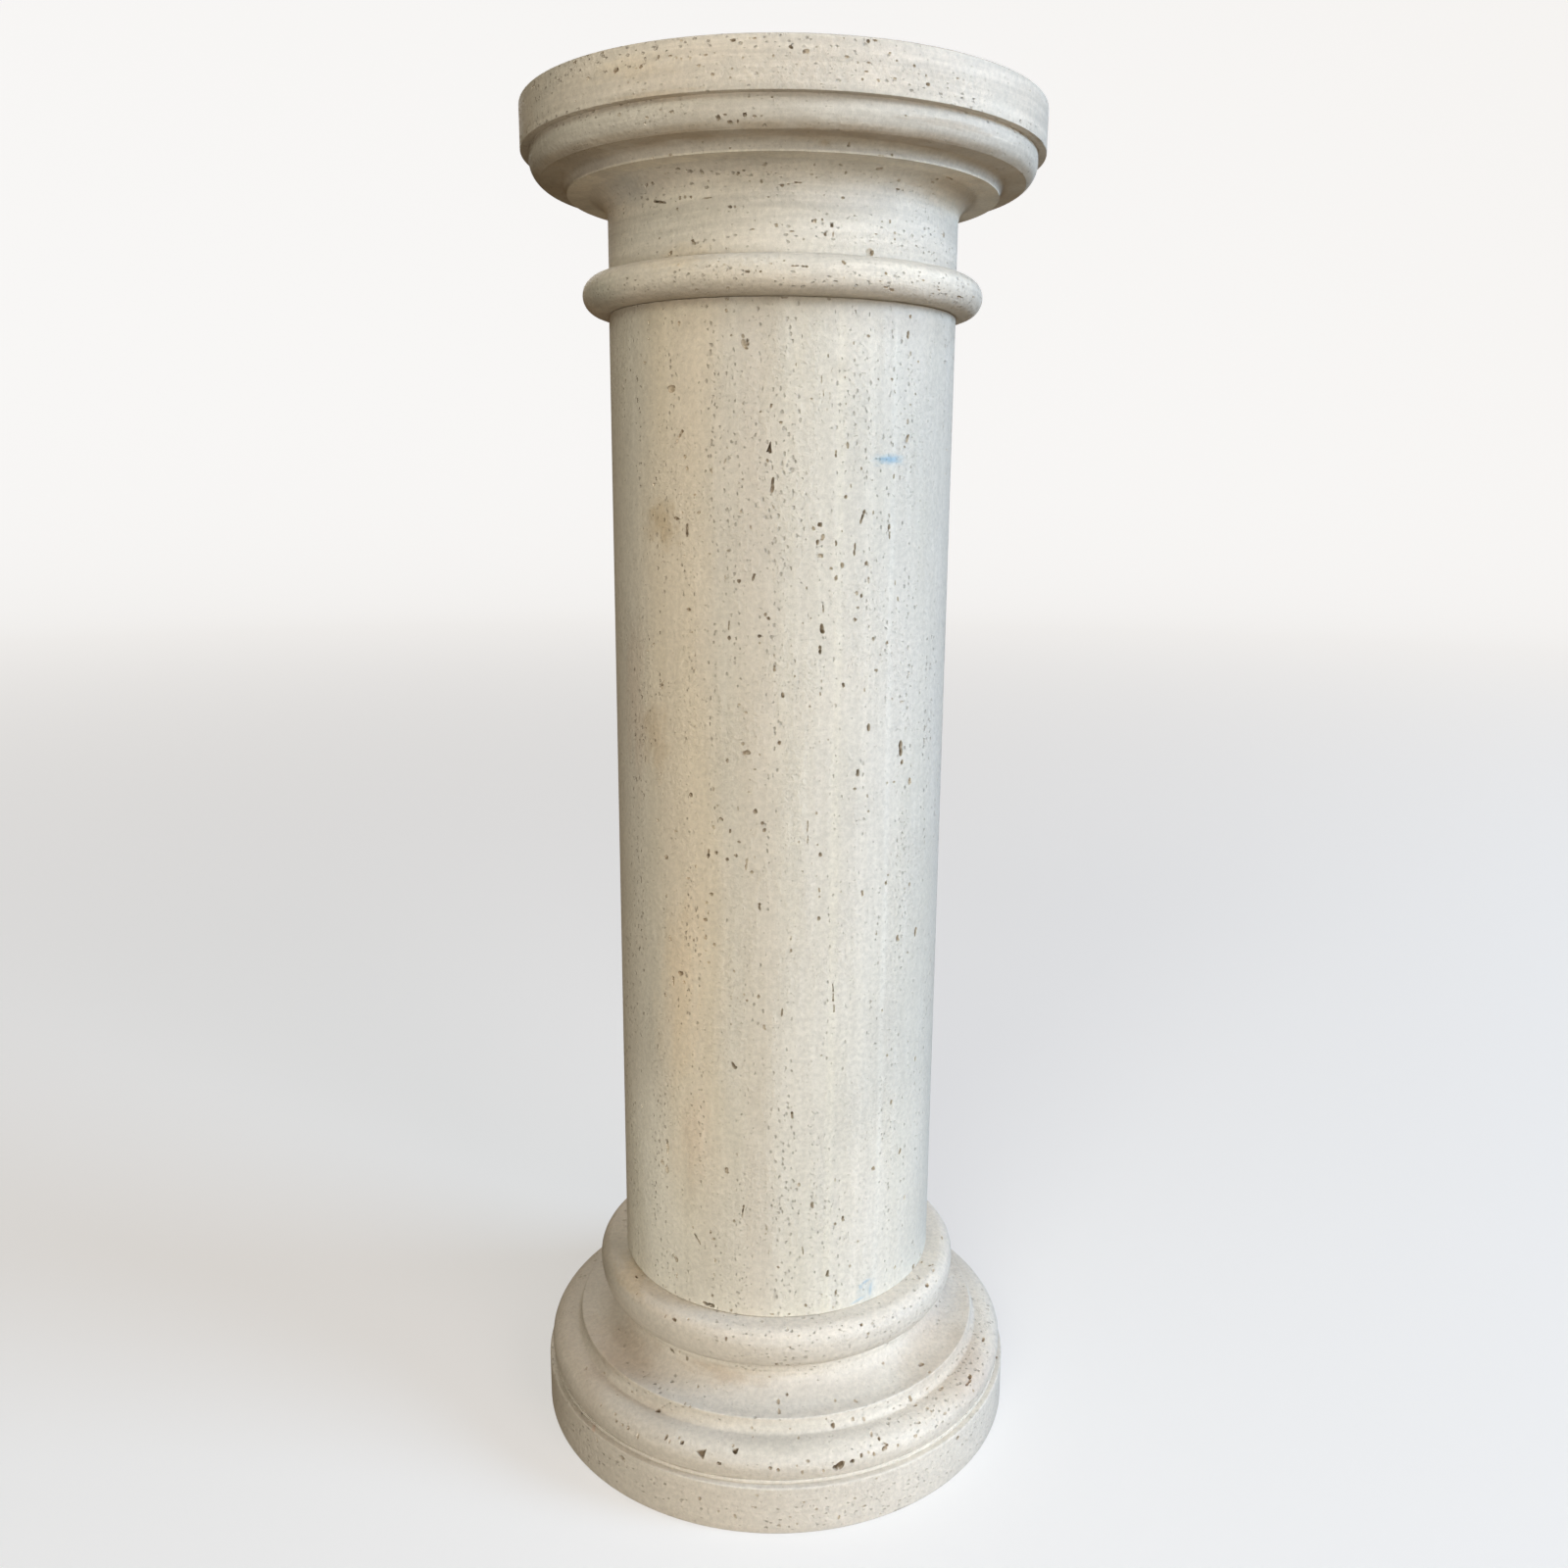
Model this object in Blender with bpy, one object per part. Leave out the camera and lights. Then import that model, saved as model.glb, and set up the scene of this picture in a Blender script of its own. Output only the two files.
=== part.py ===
"""Round pedestal column of travertine: a moulded base, a plain shaft and a moulded capital.

Metres, +Z up. The origin is on the floor, on the column's axis.
The three stones stand on each other, bed on bed, and are held by their own weight.
"""
import math

import bmesh
import bpy

# Turning
SIDES = 64
SHARP_ANGLE = math.radians(35)
BED_JOINT = 0.0003

# Base stone, heights from the floor
BASE_HEIGHT = 0.1322
PLINTH_RADIUS = 0.1914
PLINTH_HEIGHT = 0.0380
PLINTH_EDGE = 0.0012
LISTEL_RADIUS = 0.1872
LISTEL_HEIGHT = 0.0032
QUIRK_RADIUS = 0.1852
LOWER_ROLL_CENTRE_RADIUS = 0.1688
LOWER_ROLL_CENTRE_HEIGHT = 0.0514
LOWER_ROLL_REACH = 0.0196
LOWER_ROLL_RISE = 0.0127
LOWER_ROLL_DROP = 0.0235
LOWER_ROLL_END = -24
ARRIS_RADIUS = 0.1643
ARRIS_TOP = 0.0750
ARRIS_FACE = 0.0020
ARRIS_EDGE = 0.0010
SCOTIA_TOP = 0.0908
SCOTIA_RADIUS = 0.1333
UPPER_ROLL_CENTRE_RADIUS = 0.1354
UPPER_ROLL_REACH = 0.0114
UPPER_ROLL_RISE = 0.0106
UPPER_ROLL_DROP = 0.0219

# Shaft
SHAFT_RADIUS = 0.1253
SHAFT_LENGTH = 0.7312
SHAFT_EDGE = 0.0006

# Capital, heights from its lower bed
CAPITAL_HEIGHT = 0.1360
ASTRAGAL_CENTRE_RADIUS = 0.1314
ASTRAGAL_ROUND = 0.0124
NECK_RADIUS = 0.1249
NECK_COVE = 0.0165
COLLAR_RADIUS = 0.1530
COLLAR_BOTTOM = 0.0794
COLLAR_FACE = 0.0006
UNDER_HOLLOW_REACH = 0.0075
OVOLO_RADIUS = 0.1786
OVOLO_REACH = 0.0161
OVOLO_CENTRE_HEIGHT = 0.1000
OVOLO_DROP = 0.0150
OVOLO_END = -57
ABACUS_RADIUS = 0.1843
ABACUS_HEIGHT = 0.0305
ABACUS_EDGE = 0.0020

# Honed travertine: linear colours, then roughness
BASE_COLOUR = (0.62, 0.56, 0.46)
SHAFT_COLOUR = (0.60, 0.55, 0.45)
CAPITAL_COLOUR = (0.60, 0.56, 0.47)
STONE_ROUGHNESS = 0.62


def arc(centre_radius, centre_height, reach, rise, start, end, steps):
    """Points (radius, height) along an elliptical arc, with 0 degrees outwards and 90 up."""
    points = []
    for step in range(steps + 1):
        angle = math.radians(start + (end - start) * step / steps)
        radius = centre_radius + reach * math.cos(angle)
        height = centre_height + rise * math.sin(angle)
        points.append((radius, height))
    return points


def base_outline():
    """Upper roll, fillet, scotia, arris, hollow, lower roll, quirk, listel and plinth, top to bottom."""
    roll_height = BASE_HEIGHT - UPPER_ROLL_RISE
    roll_bottom = roll_height - UPPER_ROLL_DROP
    outline = arc(UPPER_ROLL_CENTRE_RADIUS, roll_height, UPPER_ROLL_REACH, UPPER_ROLL_RISE, 90, 0, 4)
    outline += arc(UPPER_ROLL_CENTRE_RADIUS, roll_height, UPPER_ROLL_REACH, UPPER_ROLL_DROP, 0, -90, 5)[1:]
    outline.append((SCOTIA_RADIUS, roll_bottom))

    edge_centre = ARRIS_RADIUS - ARRIS_EDGE
    outline += arc(edge_centre, SCOTIA_TOP, edge_centre - SCOTIA_RADIUS, SCOTIA_TOP - ARRIS_TOP, 180, 270, 6)
    outline += arc(edge_centre, ARRIS_TOP - ARRIS_EDGE, ARRIS_EDGE, ARRIS_EDGE, 90, 0, 2)[1:]

    hollow_top = ARRIS_TOP - ARRIS_FACE
    roll_top = LOWER_ROLL_CENTRE_HEIGHT + LOWER_ROLL_RISE
    hollow_reach = LOWER_ROLL_CENTRE_RADIUS - ARRIS_RADIUS
    outline += arc(LOWER_ROLL_CENTRE_RADIUS, hollow_top, hollow_reach, hollow_top - roll_top, 180, 270, 3)
    outline += arc(LOWER_ROLL_CENTRE_RADIUS, LOWER_ROLL_CENTRE_HEIGHT, LOWER_ROLL_REACH, LOWER_ROLL_RISE,
                   90, 0, 5)[1:]
    outline += arc(LOWER_ROLL_CENTRE_RADIUS, LOWER_ROLL_CENTRE_HEIGHT, LOWER_ROLL_REACH, LOWER_ROLL_DROP,
                   0, LOWER_ROLL_END, 2)[1:]

    outline.append((QUIRK_RADIUS, PLINTH_HEIGHT + LISTEL_HEIGHT))
    outline.append((LISTEL_RADIUS, PLINTH_HEIGHT + LISTEL_HEIGHT))
    outline.append((LISTEL_RADIUS, PLINTH_HEIGHT))
    face_top = PLINTH_HEIGHT - PLINTH_EDGE
    outline += arc(PLINTH_RADIUS - PLINTH_EDGE, face_top, PLINTH_EDGE, PLINTH_EDGE, 90, 0, 2)
    outline += arc(PLINTH_RADIUS - PLINTH_EDGE, PLINTH_EDGE, PLINTH_EDGE, PLINTH_EDGE, 0, -90, 2)
    return outline


def shaft_outline():
    """A plain cylinder whose two arrises are just broken."""
    inner = SHAFT_RADIUS - SHAFT_EDGE
    return [
        (inner, SHAFT_LENGTH),
        (SHAFT_RADIUS, SHAFT_LENGTH - SHAFT_EDGE),
        (SHAFT_RADIUS, SHAFT_EDGE),
        (inner, 0.0),
    ]


def capital_outline():
    """Abacus, ovolo, soffit, under-hollow, collar, coved neck and astragal, top to bottom."""
    edge_centre = ABACUS_RADIUS - ABACUS_EDGE
    outline = arc(edge_centre, CAPITAL_HEIGHT - ABACUS_EDGE, ABACUS_EDGE, ABACUS_EDGE, 90, 0, 3)
    abacus_bottom = CAPITAL_HEIGHT - ABACUS_HEIGHT
    outline.append((ABACUS_RADIUS, abacus_bottom))
    outline.append((OVOLO_RADIUS, abacus_bottom))

    ovolo_centre = OVOLO_RADIUS - OVOLO_REACH
    outline += arc(ovolo_centre, OVOLO_CENTRE_HEIGHT, OVOLO_REACH, OVOLO_DROP, 0, OVOLO_END, 5)
    soffit_height = outline[-1][1]
    collar_top = COLLAR_BOTTOM + COLLAR_FACE
    hollow_centre = COLLAR_RADIUS + UNDER_HOLLOW_REACH
    outline += arc(hollow_centre, collar_top, UNDER_HOLLOW_REACH, soffit_height - collar_top, 90, 180, 3)
    outline.append((COLLAR_RADIUS, COLLAR_BOTTOM))

    cove_centre = NECK_RADIUS + NECK_COVE
    outline += arc(cove_centre, COLLAR_BOTTOM - NECK_COVE, NECK_COVE, NECK_COVE, 90, 180, 4)
    outline.append((NECK_RADIUS, 2 * ASTRAGAL_ROUND))
    outline += arc(ASTRAGAL_CENTRE_RADIUS, ASTRAGAL_ROUND, ASTRAGAL_ROUND, ASTRAGAL_ROUND, 90, -90, 9)
    return outline


def stone_finish(name, colour):
    """Honed, unpolished stone of one colour."""
    material = bpy.data.materials.new(name)
    material.use_nodes = True
    shader = material.node_tree.nodes["Principled BSDF"]
    shader.inputs["Base Color"].default_value = (*colour, 1.0)
    shader.inputs["Roughness"].default_value = STONE_ROUGHNESS
    shader.inputs["Metallic"].default_value = 0.0
    return material


def turned_stone(name, outline, material):
    """One closed solid: the outline is spun about the vertical axis, and both beds are closed flat."""
    shape = bmesh.new()
    points = [shape.verts.new((radius, 0.0, height)) for radius, height in outline]
    edges = [shape.edges.new(pair) for pair in zip(points, points[1:])]
    bmesh.ops.spin(shape, geom=points + edges, cent=(0, 0, 0), axis=(0, 0, 1),
                   angle=math.tau, steps=SIDES, use_merge=True)
    bmesh.ops.remove_doubles(shape, verts=shape.verts, dist=0.00001)
    open_edges = [edge for edge in shape.edges if edge.is_boundary]
    bmesh.ops.holes_fill(shape, edges=open_edges, sides=SIDES)
    bmesh.ops.recalc_face_normals(shape, faces=shape.faces)

    mesh = bpy.data.meshes.new(name)
    shape.to_mesh(mesh)
    shape.free()
    mesh.shade_smooth()
    mesh.set_sharp_from_angle(angle=SHARP_ANGLE)
    mesh.materials.append(material)
    stone = bpy.data.objects.new(name, mesh)
    bpy.context.scene.collection.objects.link(stone)
    return stone


def clear_scene():
    for old in list(bpy.data.objects):
        bpy.data.objects.remove(old, do_unlink=True)


def build_column():
    """Stacks the three stones on the axis, each on the bed of the one below."""
    column = bpy.data.objects.new("column", None)
    bpy.context.scene.collection.objects.link(column)
    base = turned_stone("base", base_outline(), stone_finish("base_travertine", BASE_COLOUR))
    shaft = turned_stone("shaft", shaft_outline(), stone_finish("shaft_travertine", SHAFT_COLOUR))
    capital = turned_stone("capital", capital_outline(),
                           stone_finish("capital_travertine", CAPITAL_COLOUR))
    shaft.location.z = BASE_HEIGHT + BED_JOINT
    capital.location.z = shaft.location.z + SHAFT_LENGTH + BED_JOINT
    for stone in (base, shaft, capital):
        stone.parent = column


clear_scene()
build_column()
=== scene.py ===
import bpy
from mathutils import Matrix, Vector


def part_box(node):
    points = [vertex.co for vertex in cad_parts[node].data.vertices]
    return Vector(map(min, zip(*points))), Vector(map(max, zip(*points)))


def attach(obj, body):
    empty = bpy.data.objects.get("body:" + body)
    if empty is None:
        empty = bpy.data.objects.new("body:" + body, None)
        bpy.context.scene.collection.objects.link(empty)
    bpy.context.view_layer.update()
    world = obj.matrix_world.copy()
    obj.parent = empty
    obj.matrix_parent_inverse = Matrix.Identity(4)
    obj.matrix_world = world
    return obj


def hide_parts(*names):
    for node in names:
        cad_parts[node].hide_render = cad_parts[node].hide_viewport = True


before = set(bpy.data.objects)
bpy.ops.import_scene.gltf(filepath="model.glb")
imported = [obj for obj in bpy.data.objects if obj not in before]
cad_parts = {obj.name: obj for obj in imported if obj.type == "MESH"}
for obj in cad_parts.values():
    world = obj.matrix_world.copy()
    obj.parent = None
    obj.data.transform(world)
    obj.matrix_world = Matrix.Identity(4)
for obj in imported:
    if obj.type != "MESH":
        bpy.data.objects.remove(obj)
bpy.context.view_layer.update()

import copy
import math
import random

import bpy
from mathutils import Matrix, Vector
from mathutils.bvhtree import BVHTree


# Camera: where the photograph was taken from, a little above the middle of the column and
# about a metre from its axis, looking slightly down through a wide lens.
PICTURE_SIZE = 1600
LENS = 31.005
SENSOR = 36.0
CAMERA_PLACE = Vector((0.0, -1.0339, 0.7451))
CAMERA_TILT = 0.2170
CAMERA_TURN = 0.0034
CAMERA_ROLL = 0.0070

bpy.ops.object.camera_add(location=CAMERA_PLACE)
camera = bpy.context.object
camera.name = "camera"
camera.data.lens = LENS
camera.data.sensor_width = SENSOR
camera.data.clip_start = 0.01
camera_turn = Matrix.Rotation(-CAMERA_TURN, 4, "Z")
camera_tilt = Matrix.Rotation(math.pi / 2 - CAMERA_TILT, 4, "X")
camera_roll = Matrix.Rotation(CAMERA_ROLL, 4, "Z")
camera.matrix_world = Matrix.Translation(CAMERA_PLACE) @ camera_turn @ camera_tilt @ camera_roll
bpy.context.scene.camera = camera

FOCAL_PIXELS = LENS / SENSOR * PICTURE_SIZE


def sight_line(across, down):
    """The direction in which the camera sees a place in the photograph."""
    right = (across - PICTURE_SIZE / 2) / FOCAL_PIXELS
    up = (PICTURE_SIZE / 2 - down) / FOCAL_PIXELS
    return (camera.matrix_world.to_3x3() @ Vector((right, up, -1.0))).normalized()


def place_on(stone, across, down):
    """The place on a stone, and the surface's direction there, at a place in the photograph."""
    hit, place, outward, _ = stone.ray_cast(CAMERA_PLACE, sight_line(across, down))
    if not hit:
        raise ValueError(f"the photograph's {across}, {down} isn't on {stone.name}")
    return place, outward


# Base: one block of travertine with its bedding level, turned on a lathe and honed.
# From the floor up: plinth, listel, lower roll, hollow, arris, scotia, fillet and upper roll.
# It stands on the floor by its own weight.
base_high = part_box("base")[1]
BASE_HEIGHT = base_high.z
PLINTH_RADIUS = base_high.x
PLINTH_HEIGHT = 0.0380
PLINTH_EDGE = 0.0014
LISTEL_RADIUS = 0.1872
LISTEL_HEIGHT = 0.0032
LISTEL_EDGE = 0.0008
QUIRK_RADIUS = 0.1852
SLOT_DEPTH = 0.0008
SLOT_HEIGHT = 0.0008
LOWER_ROLL_CENTRE = (0.1688, 0.0514)
LOWER_ROLL_REACH = 0.0196
LOWER_ROLL_RISE = 0.0127
LOWER_ROLL_DROP = 0.0235
LOWER_ROLL_END = -24
ARRIS_RADIUS = 0.1643
ARRIS_TOP = 0.0750
ARRIS_FACE = 0.0020
ARRIS_EDGE = 0.0012
SCOTIA_TOP = 0.0908
SCOTIA_RADIUS = 0.1333
UPPER_ROLL_CENTRE_RADIUS = 0.1354
UPPER_ROLL_REACH = 0.0114
UPPER_ROLL_RISE = 0.0106
UPPER_ROLL_DROP = 0.0219
FILLET_DROP = 0.0003
BED_RING_RADIUS = SCOTIA_RADIUS * 0.8
SIDES = 256
MERGE_DISTANCE = 0.00002


def arc(centre, reach, start, end, steps, rise=None):
    """Points (radius, height) along an arc, with 0 degrees outwards and 90 up. It is round
    unless it has a rise of its own."""
    rise = rise or reach
    points = []
    for step in range(steps + 1):
        angle = math.radians(start + (end - start) * step / steps)
        points.append((centre[0] + reach * math.cos(angle), centre[1] + rise * math.sin(angle)))
    return points


def select_alone(thing):
    bpy.ops.object.select_all(action="DESELECT")
    bpy.context.view_layer.objects.active = thing
    thing.select_set(True)


def turn_stone(name, outline):
    """One closed solid: a point is drawn down the outline by extruding it, and the line is spun."""
    bpy.ops.object.select_all(action="DESELECT")
    bpy.ops.mesh.primitive_plane_add(size=0.01, location=(0, 0, 0))
    stone = bpy.context.object
    stone.name = name
    stone.data.name = name
    bpy.ops.object.mode_set(mode="EDIT")
    bpy.ops.mesh.merge(type="CENTER")
    bpy.ops.transform.translate(value=(outline[0][0], 0, outline[0][1]))
    for (radius, height), (next_radius, next_height) in zip(outline, outline[1:]):
        step = (next_radius - radius, 0, next_height - height)
        bpy.ops.mesh.extrude_vertices_move(TRANSFORM_OT_translate={"value": step})
    bpy.ops.mesh.select_all(action="SELECT")
    bpy.ops.mesh.spin(steps=SIDES, angle=math.tau, center=(0, 0, 0), axis=(0, 0, 1), use_auto_merge=True)
    bpy.ops.mesh.select_all(action="SELECT")
    bpy.ops.mesh.remove_doubles(threshold=MERGE_DISTANCE)
    bpy.ops.mesh.normals_make_consistent(inside=False)
    bpy.ops.object.mode_set(mode="OBJECT")
    return stone


def base_outline():
    roll_height = BASE_HEIGHT - UPPER_ROLL_RISE
    roll_centre = (UPPER_ROLL_CENTRE_RADIUS, roll_height)
    roll_bottom = roll_height - UPPER_ROLL_DROP
    outline = [(0.0, BASE_HEIGHT), (BED_RING_RADIUS, BASE_HEIGHT)]
    outline += arc(roll_centre, UPPER_ROLL_REACH, 90, 0, 8, UPPER_ROLL_RISE)
    outline += arc(roll_centre, UPPER_ROLL_REACH, 0, -90, 12, UPPER_ROLL_DROP)[1:]
    outline.append((SCOTIA_RADIUS, roll_bottom - FILLET_DROP))

    edge_radius = ARRIS_RADIUS - ARRIS_EDGE
    scotia_centre = (edge_radius, SCOTIA_TOP)
    outline += arc(scotia_centre, edge_radius - SCOTIA_RADIUS, 180, 270, 14, SCOTIA_TOP - ARRIS_TOP)
    outline += arc((edge_radius, ARRIS_TOP - ARRIS_EDGE), ARRIS_EDGE, 90, 0, 4)[1:]

    hollow_centre = (LOWER_ROLL_CENTRE[0], ARRIS_TOP - ARRIS_FACE)
    hollow_reach = LOWER_ROLL_CENTRE[0] - ARRIS_RADIUS
    hollow_rise = hollow_centre[1] - LOWER_ROLL_CENTRE[1] - LOWER_ROLL_RISE
    outline += arc(hollow_centre, hollow_reach, 180, 270, 8, hollow_rise)
    outline += arc(LOWER_ROLL_CENTRE, LOWER_ROLL_REACH, 90, 0, 11, LOWER_ROLL_RISE)[1:]
    outline += arc(LOWER_ROLL_CENTRE, LOWER_ROLL_REACH, 0, LOWER_ROLL_END, 5, LOWER_ROLL_DROP)[1:]

    listel_top = PLINTH_HEIGHT + LISTEL_HEIGHT
    listel_centre = (LISTEL_RADIUS - LISTEL_EDGE, listel_top - LISTEL_EDGE)
    outline.append((QUIRK_RADIUS, listel_top))
    outline += arc(listel_centre, LISTEL_EDGE, 90, 0, 3)
    outline.append((LISTEL_RADIUS, PLINTH_HEIGHT + SLOT_HEIGHT))
    outline.append((LISTEL_RADIUS - SLOT_DEPTH, PLINTH_HEIGHT))
    edge_radius = PLINTH_RADIUS - PLINTH_EDGE
    outline += arc((edge_radius, PLINTH_HEIGHT - PLINTH_EDGE), PLINTH_EDGE, 90, 0, 4)
    for share in (0.75, 0.5, 0.25):
        outline.append((PLINTH_RADIUS, PLINTH_HEIGHT * share))
    outline += arc((edge_radius, PLINTH_EDGE), PLINTH_EDGE, 0, -90, 4)
    outline += [(SCOTIA_RADIUS, 0.0), (0.0, 0.0)]
    return outline


class Finish:
    """A material being put together: its nodes, and the shader they lead to."""

    def __init__(self, name):
        self.material = bpy.data.materials.new(name)
        self.material.use_nodes = True
        self.tree = self.material.node_tree
        self.shader = self.tree.nodes["Principled BSDF"]

    def add(self, kind, settings=None, **inputs):
        """A node with its settings and inputs."""
        node = self.tree.nodes.new("ShaderNode" + kind)
        for key, value in (settings or {}).items():
            setattr(node, key, value)
        self.set(node, **inputs)
        return node.outputs

    def set(self, node, **inputs):
        """A node's inputs, by name or as i0, i1 by place, each a value or another node's output."""
        for key, value in inputs.items():
            socket = node.inputs[int(key[1:]) if key[1:].isdigit() else key.replace("_", " ")]
            if isinstance(value, bpy.types.NodeSocket):
                self.tree.links.new(value, socket)
            else:
                socket.default_value = value

    def noise(self, vector, scale, detail, roughness=0.5):
        """Noise from 0 to 1, with one scale for all ways or one for each."""
        if isinstance(scale, tuple):
            vector = self.add("Mapping", Vector=vector, Scale=scale)["Vector"]
            scale = 1.0
        return self.add("TexNoise", Vector=vector, Scale=scale, Detail=detail,
                        Roughness=roughness)["Fac"]

    def between(self, value, low, high, to_low=0.0, to_high=1.0):
        """The value from low to high, taken to a new range with soft ends."""
        return self.add("MapRange", {"interpolation_type": "SMOOTHSTEP"}, Value=value, From_Min=low,
                        From_Max=high, To_Min=to_low, To_Max=to_high)["Result"]

    def math(self, operation, *values):
        inputs = {f"i{place}": value for place, value in enumerate(values)}
        return self.add("Math", {"operation": operation}, **inputs)["Value"]

    def vector(self, operation, output="Vector", **inputs):
        return self.add("VectorMath", {"operation": operation}, **inputs)[output]

    def tint(self, share, colour, other, blend="MIX"):
        """One colour laid over another by a share."""
        settings = {"data_type": "RGBA", "blend_type": blend}
        return self.add("Mix", settings, i0=share, i6=colour, i7=(*other, 1.0))[2]

    def ramp(self, value, places, colours):
        node = self.tree.nodes.new("ShaderNodeValToRGB")
        self.set(node, Fac=value)
        elements = node.color_ramp.elements
        while len(elements) < len(places):
            elements.new(0.5)
        for element, place, colour in zip(elements, places, colours):
            element.position = place
            element.color = (*colour, 1.0)
        return node.outputs["Color"]

    def finish(self, colour, relief):
        """Leads a colour and a relief in metres to the shader."""
        bump = self.add("Bump", Height=relief, Strength=1.0, Distance=1.0)["Normal"]
        self.set(self.shader, Base_Color=colour, Normal=bump)
        return self.material


def pin_holes(stone, layers, scale, wobble):
    """Mask of the finest pores: one to a cell, each of its own size, drawn out along the layers."""
    vector = stone.vector("ADD", i0=layers, i1=wobble)
    vector = stone.add("Mapping", Vector=vector, Scale=scale)["Vector"]
    cells = stone.add("TexVoronoi", Vector=vector, Scale=1.0, Randomness=1.0)
    rolls = stone.add("SeparateColor", Color=cells["Color"])
    size = stone.between(rolls["Green"], 0.0, 1.0, 0.11, 0.36)
    return stone.between(stone.math("DIVIDE", cells["Distance"], size), 1.0, 0.4), rolls["Red"]


def travertine(name, bed_turn, bed_shift, layer_colours, streaks, marks):
    """Honed travertine: layers of close colours, faint streaks and clouds, fine grain and pin-holes.

    The bed's own Z crosses the layers. Marks are makers of a mask and the colour it lays on."""
    pale_vein = (0.72, 0.68, 0.60)
    grey_cloud = (0.50, 0.46, 0.39)
    tan_cloud = (0.69, 0.60, 0.48)
    # Pore colours: dirt and painted shade for the insides of holes.
    pore_dirt_and_shade = (0.36, 0.29, 0.20)
    pore_rim_dirt_and_shade = (0.80, 0.75, 0.69)
    pore_floor_dirt_and_shade = (0.36, 0.31, 0.25)
    stone = Finish(name)
    place = stone.add("TexCoord")["Object"]
    bed = stone.add("Mapping", Vector=place, Rotation=bed_turn, Location=bed_shift)["Vector"]
    drift = stone.math("MULTIPLY_ADD", stone.noise(bed, 6.0, 2.0), 0.014, -0.007)
    drift = stone.add("CombineXYZ", Z=drift)["Vector"]
    layers = stone.vector("ADD", i0=bed, i1=drift)

    broad = stone.noise(layers, (2.0, 2.0, 17.0), 3.0, 0.45)
    streak = stone.noise(layers, (3.5, 3.5, 75.0), 3.0, 0.55)
    fine = stone.noise(layers, (12.0, 12.0, 260.0), 4.0, 0.6)
    cloud = stone.noise(bed, 9.0, 5.0, 0.55)
    mottle = stone.noise(place, 300.0, 4.0, 0.6)
    grain = stone.noise(place, 1500.0, 2.0, 0.6)

    colour = stone.ramp(broad, (0.30, 0.45, 0.58, 0.72), layer_colours)
    colour = stone.tint(stone.between(fine, 0.42, 0.75, 0.0, 0.16), colour, pale_vein)
    colour = stone.tint(stone.between(cloud, 0.50, 0.75, 0.0, 0.28), colour, grey_cloud)
    colour = stone.tint(stone.between(cloud, 0.48, 0.25, 0.0, 0.22), colour, tan_cloud)
    shade = stone.between(streak, 0.30, 0.70, 1.0 - streaks, 1.0 + streaks)
    shade = stone.math("MULTIPLY", shade, stone.between(fine, 0.25, 0.75, 1.0 - streaks, 1.0 + streaks))
    shade = stone.math("MULTIPLY", shade, stone.between(mottle, 0.25, 0.75, 0.90, 1.08))
    shade = stone.math("MULTIPLY", shade, stone.between(grain, 0.20, 0.80, 0.94, 1.05))
    colour = stone.vector("SCALE", i0=colour, Scale=shade)

    for mark in marks:
        mask, mark_colour = mark(stone, place)
        colour = stone.tint(mask, colour, mark_colour, "MULTIPLY")

    wobble = stone.add("TexNoise", Vector=place, Scale=1100.0, Detail=2.0)["Color"]
    wobble = stone.vector("SCALE", i0=wobble, Scale=0.0018)
    pins, pin_roll = pin_holes(stone, layers, (210.0, 210.0, 380.0), wobble)
    specks, speck_roll = pin_holes(stone, layers, (420.0, 420.0, 700.0), wobble)
    rows = stone.between(streak, 0.45, 0.64)
    pins = stone.math("MULTIPLY", pins, stone.between(stone.math("ADD", pin_roll, rows), 0.95, 1.15))
    worn = stone.between(stone.noise(layers, (14.0, 14.0, 40.0), 3.0), 0.40, 0.64, 0.3, 1.0)
    speck_roll = stone.math("MULTIPLY_ADD", worn, 0.4, speck_roll)
    specks = stone.math("MULTIPLY", specks, stone.between(speck_roll, 0.92, 1.05))
    # Pin-holes and specks are darkened with dirt and painted shade.
    colour = stone.tint(stone.math("MULTIPLY", pins, 0.34), colour, pore_dirt_and_shade)
    colour = stone.tint(stone.math("MULTIPLY", specks, 0.22), colour, pore_dirt_and_shade)

    # The inside of a cut pore is darkened by its depth: dirt and painted shade.
    depth = stone.add("Attribute", {"attribute_name": "depth"})["Fac"]
    colour = stone.tint(stone.between(depth, 0.0001, 0.0006), colour, pore_rim_dirt_and_shade, "MULTIPLY")
    colour = stone.tint(stone.between(depth, 0.0007, 0.0026), colour, pore_floor_dirt_and_shade, "MULTIPLY")

    relief = stone.math("MULTIPLY", mottle, stone.math("MULTIPLY", worn, 0.0009))
    relief = stone.math("MULTIPLY_ADD", grain, 0.00010, relief)
    relief = stone.math("MULTIPLY_ADD", pins, -0.0009, relief)
    relief = stone.math("MULTIPLY_ADD", specks, -0.0004, relief)
    rough = stone.between(mottle, 0.3, 0.7, 0.56, 0.68)
    stone.set(stone.shader, Roughness=rough, Specular_IOR_Level=0.3)
    return stone.finish(colour, relief)


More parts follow.
